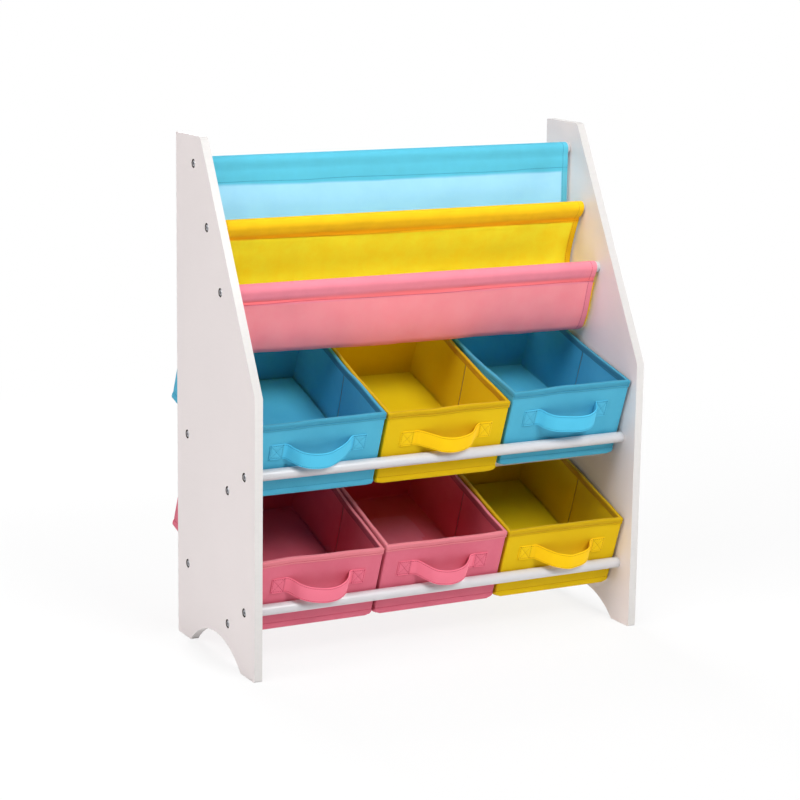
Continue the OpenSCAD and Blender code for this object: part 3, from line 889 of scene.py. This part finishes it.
def add_sling_panel(colour):
    path, tube, slip, inset = SLING[colour]
    left, right = slip - SLING_W / 2 + inset, slip + SLING_W / 2 - inset
    seam_at = FLAP_STEPS + ROUND_STEPS + FRONT_STEPS
    rings, cuts, length = sheet_rings(path, left, right, SHEET_OFFSET, SHEET_T, 200, seam_at)
    cloth = sheet_piece(f"{colour}_sling_cloth", rings, cuts, SLING_CLOTH[colour], cuts[seam_at][0][1] + 1.5)
    rows, hems = [], []
    stretch = path[FLAP_STEPS + 1:-2]
    outer = sideways(stretch, SHEET_OFFSET - SHEET_T / 2 - 0.05)
    ways = headings(stretch)
    for side, edge, way in (("left", left, 1), ("right", right, -1)):
        a, b = edge + way * 0.4, edge + way * HEM_W
        hem_rings, hem_cuts, _ = sheet_rings(stretch, min(a, b), max(a, b), HEM_OFFSET, HEM_T, 8)
        hems.append(sheet_piece(
            f"{colour}_sling_hem_{side}", hem_rings, hem_cuts, SLING_CLOTH[colour], doubled_to=1e4
        ))
        x = edge + way * STITCH_IN
        line = np.array([(x, y + FRONT_Y, z) for y, z in outer])
        rows.append((slack(line), np.stack([0 * ways[:, 0], ways[:, 1], -ways[:, 0]], 1), False))
    seam = path[seam_at - 1] + (path[seam_at] - path[seam_at - 1]) * 0.4
    way = unit(path[seam_at] - path[seam_at - 1])
    out = np.array([way[1], -way[0]])
    y, z = seam + out * (SHEET_T / 2 - SHEET_OFFSET + 0.1)
    xs = np.linspace(left + 1.5, right - 1.5, 160)
    lift = gathered(xs, 3.0)
    line = np.stack([xs, y + FRONT_Y + out[0] * lift, z + out[1] * lift], 1)
    rows.append((slack(line), np.tile([0, out[0], out[1]], (len(xs), 1)), False))
    seams = stitches(f"{colour}_sling_stitches", rows, colour)
    for made in [cloth, *hems, seams]:
        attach(made, "frame")
    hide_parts(f"{colour}_sling_panel")


for colour in SLING:
    add_sling_panel(colour)

# Bins. Their own directions are x across, a along the base from the front and n up the front wall

BINS = {
    # bow: of the front, rear, left and right walls at the rim, outwards. cut: height of the slant at the
    # front's lower corners. drop, tip: of the rim, all of it and from left to right. lift: of the bin's front
    # off its rail. floor: lift of the floor board, front and rear. ends, rise, stand: the strap's two ends,
    # how high each is sewn, and the bow of its free part off the wall
    ("lower", "left"): dict(
        colour="pink", bow=(-1.0, -1.5, -1.0, -0.8), cut=10.0, drop=2.0, floor=(1.0, 0.0), seed=3,
        ends=(-73.5, 73), rise=(0.6, -0.8),
        stand=((-44, 3.5), (-33, 15.5), (-19, 23), (0, 27), (17, 25.5), (31, 19.8), (40, 12), (45.5, 3))),
    ("lower", "middle"): dict(
        colour="pink", bow=(-0.8, -1.0, 0.6, -2.0), cut=11.0, drop=2.0, floor=(-3.5, -4.5), seed=11,
        ends=(-76, 71), rise=(2.4, -0.4),
        stand=((-44, 1.5), (-34, 11), (-22, 21.5), (-4, 25.6), (11, 24.3), (25, 18.5), (35, 9), (40.5, 2))),
    ("lower", "right"): dict(
        colour="yellow", bow=(-0.6, -1.2, 1.8, -1.2), cut=11.0, drop=2.0, floor=(-1.0, 2.0), seed=19,
        ends=(-76, 72), rise=(2.2, -1.0),
        stand=((-46, 1.2), (-36, 9.5), (-22, 19.8), (-3, 26.3), (12, 24.5), (27, 20.5), (37.5, 14),
               (43.5, 4))),
    ("upper", "left"): dict(
        colour="blue", bow=(-1.2, -1.0, -1.0, -2.6), cut=8.0, drop=1.6, tip=2.2, floor=(6.0, 9.0), seed=27,
        ends=(-76.5, 72.5), rise=(-1.2, 0.8),
        stand=((-49, 2), (-42, 10.5), (-32, 19.5), (-17, 24.8), (2, 25.5), (20, 19.5), (35, 11.5), (45, 3))),
    ("upper", "middle"): dict(
        colour="yellow", bow=(-0.8, -1.5, 2.2, -3.0), cut=9.5, drop=2.2, floor=(1.5, 0.0), seed=35,
        ends=(-74, 74), rise=(-1.6, 0.2),
        stand=((-44, 1.2), (-34, 6), (-23, 12.8), (-12, 19), (4, 22), (20, 20.3), (34, 15.2), (44.5, 5))),
    ("upper", "right"): dict(
        colour="blue", bow=(-0.5, -1.0, 3.6, -1.4), cut=10.0, drop=0.0, floor=(0.0, -1.0), seed=43, lift=8.0,
        ends=(-76, 66), rise=(0.8, 3.8),
        stand=((-47.5, 2.5), (-41, 10.5), (-30, 17.8), (-13, 22), (6, 24.6), (23, 23), (36.5, 15.5),
               (42.5, 5))),
}
ROWS, COLUMNS = ("lower", "upper"), ("left", "middle", "right")
# How far along a bin its rear tube is, and how far to the left the bins stand
REAR_TUBE_A, SLIP = 186.0, 1.4


def ring_stations():
    """A ring's points: share of the half width and half length of its straight sides, and the way out."""
    half_l = BIN_L / 2 - CORNER_R
    fold = (FOLD_A - BIN_L / 2) / half_l
    fine = fold + np.array([-4, -1.8, -0.8, -0.35, 0, 0.35, 0.8, 1.8, 4]) / half_l
    ends = np.linspace(-1, 1, 27)[1:-1]
    sides = np.linspace(-1, 1, 36)[1:-1]
    sides = np.sort(np.concatenate([sides[np.abs(sides - fold) > 5.5 / half_l], fine]))
    out = []
    runs = ((1, -1, ends), (1, 1, sides), (-1, 1, ends[::-1]), (-1, -1, sides[::-1]))
    for k, (sx, sa, run) in enumerate(runs):
        for t in run:
            out.append([(t, -1, 0, -1), (1, t, 1, 0), (t, 1, 0, 1), (-1, t, -1, 0)][k])
        for angle in np.radians(np.linspace(-90, 0, 6) + 90 * k):
            out.append((sx, sa, math.cos(angle), math.sin(angle)))
    return np.array(out)


STATIONS = ring_stations()


def ring(inset, n):
    """A ring round a bin, drawn in from the rim's outer face, at one height."""
    centre = max(CORNER_R, inset + 0.3)
    x = STATIONS[:, 0] * (BIN_W / 2 - centre) + STATIONS[:, 2] * (centre - inset)
    a = BIN_L / 2 + STATIONS[:, 1] * (BIN_L / 2 - centre) + STATIONS[:, 3] * (centre - inset)
    return np.stack([x, a, np.full(len(x), float(n))], 1)


def settled(look, points, crease=0.0, floor=(0.0, 0.0)):
    """How a used bin's walls and corners sit, for points in the bin's own directions."""
    x, a, n = np.asarray(points, float).T.copy()
    up = np.clip(n / BIN_H, 0, 1.1)
    aside, front, rear = BIN_W / 2 - np.abs(x), a.copy(), BIN_L - a
    for depth, height in ((front, look["cut"]), (rear, 4.0)):
        least = height - 2.1 * (np.clip(aside, 0, None) + np.clip(depth, 0, None))
        n = 0.5 * (n + least + np.sqrt((n - least) ** 2 + 0.8))

    def near(depth):
        return eased_step((30 - depth) / 20)

    rng = np.random.default_rng(look["seed"])
    across, along = np.clip(x / BIN_W, -0.5, 0.5), np.clip(a / BIN_L, 0, 1)
    waves = []
    for t, window in ((across * BIN_W, np.cos(math.pi * across)), (along * BIN_L, np.sin(math.pi * along))):
        for _ in range(2):
            wave = sum(
                amount * np.sin(t / length + rng.uniform(0, 6.3))
                for amount, length in ((0.45, 26), (0.3, 14), (0.15, 7))
            )
            waves.append((window, wave * np.clip(window, 0, 1) ** 0.5))
    fuller = (1, 1, 0.7 + 0.6 * along, 0.7 + 0.6 * along)
    bowed = [
        up ** 1.5 * (bow * window * more + wave)
        for bow, more, (window, wave) in zip(look["bow"], fuller, waves)
    ]
    left, right = near(BIN_W / 2 + x), near(BIN_W / 2 - x)
    a = a - near(front) * bowed[0] + near(rear) * (bowed[1] + 4.5 * (1 - up) - 1.5 * up)
    x = x - left * bowed[2] + right * bowed[3] - SLIP
    if crease:
        valley = np.exp(-((along * BIN_L - FOLD_A) / 1.2) ** 2) * np.clip((n - 12) / 8, 0, 1)
        x = x + (left - right) * valley * crease
    n = n + floor[0] + (floor[1] - floor[0]) * along
    n = n + up ** 2 * (
        0.7 * np.sin(x / 41 + rng.uniform(0, 6.3)) + 0.6 * np.sin(a / 37 + rng.uniform(0, 6.3))
        + 0.3 * np.sin((x + a) / 15 + rng.uniform(0, 6.3)) - look["drop"]
        + look.get("tip", 0.0) * across
    )
    n = n - 4 * np.clip((a - REAR_TUBE_A) / (BIN_L - REAR_TUBE_A), 0, None) ** 1.5 * (1 - 0.3 * up)
    if look.get("lift"):
        n = n + look["lift"] * np.clip(1 - a / REAR_TUBE_A, -0.4, 1.1)
        n = n + up ** 1.2 * (5.5 + 1.5 * x / 98) * np.exp(-(a / 110) ** 2)
    return np.stack([x, a, n], 1)


def bin_turned(vectors):
    vectors = np.asarray(vectors, float)
    c, s = math.cos(BIN_TILT), math.sin(BIN_TILT)
    return np.stack([
        vectors[:, 0], vectors[:, 1] * c - vectors[:, 2] * s, vectors[:, 1] * s + vectors[:, 2] * c
    ], 1)


def bin_origin(row, column):
    across = (COLUMNS.index(column) - 1) * BIN_PITCH
    return np.array([across, FRONT_Y + BIN_FOOT_Y, BIN_FOOT_Z + ROWS.index(row) * TIER_PITCH])


def stood(look, points, place, crease=0.0, floor=(0.0, 0.0)):
    """Points of a bin, settled, turned to the slope of its tubes and put in its place."""
    return bin_turned(settled(look, points, crease, floor)) + place


# Sections of a bin's layers: how far in from the rim's outer face, and how high
COVER_PROFILE = [
    (30, FLOOR_N), (12, FLOOR_N), (3.2, FLOOR_N), (2.2, 6.2), (1.8, 5.0), (1.75, 2.4), (1.5, 0.7), (1.0, 0.1),
    (0.4, 0.05), (-0.1, 0.5), (-0.4, 1.5), (-0.5, 3), (-0.45, 5), (-0.15, 7), (0.35, 8.2), (0.85, 8.9),
    (1.05, 9.4), (0.85, 10.2), (0.65, 13), *[(0.6, n) for n in range(20, 93, 8)], (0.6, 99), (0.65, 105),
    (0.75, 107.5), (0.9, 112), (0.9, WALL_TOP), (1.7, WALL_TOP), (1.7, 80), (1.7, 40), (1.7, 12), (1.9, 7.6),
    (3.2, 7.3), (12, 7.3), (30, 7.3),
]
LINING_PROFILE = [
    (30, 7.4), (12, 7.4), (LINING_OUT + 0.4, 7.4), *[(LINING_OUT, n) for n in (12, 40, 80, WALL_TOP)],
    *[(LINING_IN, n) for n in (WALL_TOP, 112, 106, 98, *range(90, 29, -10), 22, 14)], (LINING_IN + 0.1, 10),
    (LINING_IN + 0.8, 8.6), (12, 8.2), (30, 8.2),
]
RIM_PROFILE = [
    (0.7, 108.0), (0.1, 107.9), (-0.25, 108.3), (-0.25, 109.4), (0.1, 110.1), (0.45, 110.6), (0.1, 111.1),
    (-0.2, 112.0), (-0.25, 113.6), (-0.2, 115.6), (0.0, 116.8), (0.45, 117.55), (1.2, 117.95), (2.8, 118.05),
    (4.5, 117.95), (5.2, 117.55), (5.6, 116.8), (5.75, 115.6), (5.75, 113.6), (5.6, 112.0), (5.3, 111.1),
    (5.05, 110.6), (5.3, 110.1), (5.6, 109.4), (5.55, 108.35), (5.3, 107.95), (4.85, 108.2), (4.85, 115),
    (4.6, 117.2), (1.0, 117.2), (0.75, 115), (0.75, 108.2),
]
BASE_PROFILE = [
    (34, 8.3), (10, 8.3), (8.5, 8.4), (7.7, 9.0), (7.6, 9.8), (7.9, 10.7), (8.7, 11.1), (10, 11.2),
    (20, 11.2), (34, 11.2),
]
# How far in the inner side of a binding starts, which gets a darker colour as painted shade
BINDING_INSIDE = 4.55


def boxed(name, look, profile, material, place, crease=0.0, close=False, lump=0.0, floor=(0.0, 0.0)):
    """A sewn layer round a bin with the given section. A closed one gets a darker colour on its inner side,
    which is painted shade.
    """
    rings, inner = [], []
    for inset, n in profile:
        around = ring(inset, n)
        if lump:
            corner = np.abs(STATIONS[:, 2] * STATIONS[:, 3]) * 2
            around[:, :2] += STATIONS[:, 2:] * (corner * lump * (1 if inset < 3 else -0.3))[:, None]
        rings.append(around)
        # The binding's inner side, marked for its painted shade
        inner += [float(inset > BINDING_INSIDE)] * len(around)
    points, faces = loft(rings, close)
    return piece(
        name, stood(look, points, place, crease, floor), faces, material, sides_cut(points, faces),
        layers_and_shade=inner if close else None,
    )


def boards(name, look, node, place):
    """The stiffening boards, cut finely enough to follow the walls."""
    shape = merged_copy(node)
    shape.transform(Matrix.Rotation(-BIN_TILT, 4, "X") @ Matrix.Translation(-Vector(place) * MM))
    for axis, (first, last, count) in enumerate(((-88, 88, 12), (10, 268, 15), (6, 110, 9))):
        for cut in np.linspace(first, last, count):
            middle, way = Vector((0, 0, 0)), Vector((0, 0, 0))
            middle[axis], way[axis] = cut * MM, 1
            whole = [*shape.verts, *shape.edges, *shape.faces]
            bmesh.ops.bisect_plane(shape, geom=whole, plane_co=middle, plane_no=way, dist=1e-6)
    points = np.array([v.co for v in shape.verts]) / MM
    for v, p in zip(shape.verts, stood(look, points, place) * MM):
        v.co = p
    return add_object(name, mesh_of(shape, name, CARD))


# Places across a strap's two faces, as a share of its width
STRAP_FRONT = np.array([
    0, 0.02, 0.05, STRAP_SEAM / STRAP_W, 0.12, 0.16, 0.22, 0.29, 0.36, 0.43, 0.5, 0.57, 0.64, 0.71, 0.78,
    0.84, 0.88, 1 - STRAP_SEAM / STRAP_W, 0.95, 0.98, 1,
])
STRAP_BACK = np.array([0.98, 0.8, 0.5, 0.2, 0.02])


def swell(t):
    return 1 - np.exp(-(t / 1.1) ** 2)


def strap_thickness(from_end, u):
    """Stitching holds the strap down, and it swells between the rows. The patches are two layers, crossed."""
    q = u * STRAP_W
    edge = np.minimum(1, 0.3 + np.minimum(q, STRAP_W - q) / 0.7)
    if from_end > PATCH_L:
        from_row = np.minimum(np.abs(q - STRAP_SEAM), np.abs(STRAP_W - q - STRAP_SEAM))
        return (1.25 + 0.35 * swell(from_row)) * edge
    w, h = PATCH_L - 2 * PATCH_SEAM, STRAP_W - 2 * PATCH_SEAM
    p, q = from_end - PATCH_SEAM, q - PATCH_SEAM
    rows = [np.abs(p) + 0 * q, np.abs(w - p) + 0 * q, np.abs(q), np.abs(h - q)]
    rows += [np.abs(q * w - p * h) / math.hypot(w, h), np.abs((h - q) * w - p * h) / math.hypot(w, h)]
    return (1.5 + 0.8 * swell(np.min(rows, axis=0))) * np.minimum(edge, min(1, 0.3 + from_end / 0.7))


def strap_shape(look):
    """Sections of a strap that is sewn flat at both ends and stands off the wall in a bow between them."""
    (start, end), (low, high) = look["ends"], look["rise"]
    sewn = np.linspace(0, PATCH_L, 20)[:-1]
    free = [(start + PATCH_L, 0), (start + PATCH_L + 1, 0), *look["stand"], (end - PATCH_L, 0)]
    patches = [np.stack([x, 0 * sewn], 1) for x in (start + sewn, (end - sewn)[::-1])]
    middle = np.concatenate([patches[0], smooth(np.array(free, float)), patches[1]])
    middle[:, 1] = np.clip(middle[:, 1], 0, None)
    way = np.gradient(middle, axis=0)
    way /= np.linalg.norm(way, axis=1)[:, None]
    rings = []
    for (x, s), (tx, ts) in zip(middle, way):
        from_end, across, share = min(x - start, end - x), (x - start) / (end - start), min(1, s / 24)
        height = HANDLE_N + low + (high - low) * across - 0.22 * s
        section = []
        for u, face in [(u, 1) for u in STRAP_FRONT] + [(u, 0) for u in STRAP_BACK]:
            thick = float(strap_thickness(from_end, u)) * face
            out = s + tx * thick + 2.5 * share * (1 - u)
            n = height + STRAP_W * (1 - 0.06 * share) * (u - 0.5)
            section.append((x - ts * thick + SLIP, 0.82 - out, n))
        rings.append(section)
    lengths = np.concatenate([[0], np.cumsum(np.linalg.norm(np.diff(middle, axis=0), axis=1))])
    return np.array(rings), lengths, np.stack([-way[:, 1], -way[:, 0], 0 * way[:, 0]], 1), len(sewn)


def handle(name, look, place, colour):
    rings, lengths, _, sewn = strap_shape(look)
    points, faces = loft(rings)
    around = np.concatenate([STRAP_FRONT, 2 - STRAP_BACK]) * STRAP_W
    flat = np.stack([np.repeat(lengths, len(around)), np.tile(around, len(rings))], 1)
    layers_and_shade = np.zeros(len(rings))
    layers_and_shade[:sewn], layers_and_shade[-sewn:] = 1, 1
    return piece(
        name, stood(look, points, place), faces, STRAP_CLOTH[colour], corners_of(flat, faces), crisp=50,
        layers_and_shade=np.repeat(layers_and_shade, len(around)),
    )


def bin_stitches(name, look, place, colour):
    """Rows round the binding and the foot, along the strap, and in a crossed box on each of its ends."""
    out = np.stack([STATIONS[:, 2], STATIONS[:, 3], 0 * STATIONS[:, 2]], 1)
    rows = []
    for inset, n, way in ((0.36, 110.6, 1), (5.12, 110.6, -1), (0.95, 9.6, 1)):
        rows.append((stood(look, ring(inset, n), place), bin_turned(out * way), True))
    rings, _, ways, sewn = strap_shape(look)
    for column in np.flatnonzero(np.isin(STRAP_FRONT, (STRAP_SEAM / STRAP_W, 1 - STRAP_SEAM / STRAP_W))):
        line = rings[sewn:-sewn, column] + 0.1 * ways[sewn:-sewn]
        rows.append((stood(look, line, place), bin_turned(ways[sewn:-sewn]), False))
    inner, outer, reach = PATCH_L - PATCH_SEAM, PATCH_SEAM, STRAP_W / 2 - PATCH_SEAM
    t = np.linspace(0, 1, 9)[:, None]
    for x, way, rise in zip(look["ends"], (1, -1), look["rise"]):
        box = [(inner, -reach), (outer, -reach), (outer, reach), (inner, reach)]
        lines = [(box[k], box[(k + 1) % 4]) for k in range(4)] + [(box[0], box[2]), (box[1], box[3])]
        for first, last in lines:
            along, up = (np.array(first) * (1 - t) + np.array(last) * t).T
            line = np.stack([x + way * along + SLIP, np.full(len(t), -0.85), HANDLE_N + rise + up], 1)
            rows.append((stood(look, line, place), bin_turned(np.tile([0, -1.0, 0], (len(t), 1))), False))
    return stitches(name, rows, colour)


# The flat cloth of a bin has its corners cut out
for (row, column), look in BINS.items():
    name, colour, place = f"{row}_{column}_bin", look["colour"], bin_origin(row, column)
    cover = boxed(name + "_outside", look, COVER_PROFILE, BIN_CLOTH[colour], place, crease=0.5)
    lining = boxed(name + "_inside", look, LINING_PROFILE, LINING_CLOTH[colour], place, crease=-2.1)
    rim = boxed(name + "_binding", look, RIM_PROFILE, BINDING_CLOTH[colour], place, close=True, lump=0.5)
    base = boxed(name + "_floor_board", look, BASE_PROFILE, LINING_CLOTH[colour], place, floor=look["floor"])
    strap = handle(name + "_strap", look, place, colour)
    seams = bin_stitches(name + "_stitches", look, place, colour)
    cards = boards(name + "_wall_boards", look, name + "_boards", place)
    for made, node in (
        (cover, "cover"), (lining, "lining"), (rim, "rim"), (base, "base_board"), (strap, "handle"),
        (cards, "boards"), (seams, None),
    ):
        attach(made, name)
        if node:
            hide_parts(f"{name}_{node}")

# Floor, light and background


def add_floor():
    f = Finish("pale_floor")
    place = f.object_place()
    far = f.node("ShaderNodeVectorMath", {"operation": "LENGTH"}, {0: place}, out="Value").between(0.7, 1.9)
    dust = f.noise(place, 3, 3)
    base = f.mix(dust, (0.86, 0.86, 0.86, 1), (0.88, 0.88, 0.88, 1))
    lit = f.surface({"Base Color": base, "Roughness": 0.9, "Specular IOR Level": 0.1})
    white = f.node("ShaderNodeEmission", values={"Color": (1, 1, 1, 1), "Strength": 1.0})
    shown = f.node("ShaderNodeMixShader", values={0: f.seen() * (0.8 + far * 0.2), 1: lit, 2: white})
    mesh = bpy.data.meshes.new("floor")
    radius, sides = 9, 64
    turns = np.linspace(0, 2 * math.pi, sides + 1)[:-1]
    rim = [(radius * math.cos(t), radius * math.sin(t), 0) for t in turns]
    mesh.from_pydata(rim, [], [list(range(sides))])
    mesh.materials.append(f.show(shown))
    add_object("floor", mesh)


def add_world():
    """White where it is seen, and it gives no light."""
    f = Finish("studio", bpy.data.worlds)
    dark, white = (
        f.node("ShaderNodeBackground", values={"Color": (1, 1, 1, 1), "Strength": strength})
        for strength in (0.0, 1.0)
    )
    shown = f.node("ShaderNodeMixShader", values={0: f.seen(), 1: dark, 2: white})
    bpy.context.scene.world = f.show(shown, "ShaderNodeOutputWorld")


LAMP_SIZE, LAMP_AIM = 1.4, (0, 0, 0.4)


def add_lamp(name, place, watts):
    data = bpy.data.lights.new(name, "AREA")
    data.shape, data.size, data.energy = "DISK", LAMP_SIZE, watts
    lamp = add_object(name, data)
    lamp.location = place
    lamp.rotation_mode = "QUATERNION"
    lamp.rotation_quaternion = (Vector(LAMP_AIM) - Vector(place)).to_track_quat("-Z", "Y")


add_floor()
add_world()
for lamp in (
    ("key_light", (-1.88, -1.58, 2.86), 29), ("left_light", (-2.7, -0.48, 2.05), 34),
    ("front_light", (0.45, -2.55, 2.28), 68), ("right_light", (2.94, -1.19, 0.85), 15),
    ("top_light", (0, 0, 3.6), 23), ("back_light", (0.16, 2.69, 1.51), 64),
):
    add_lamp(*lamp)
bpy.context.scene.view_settings.view_transform = "Standard"
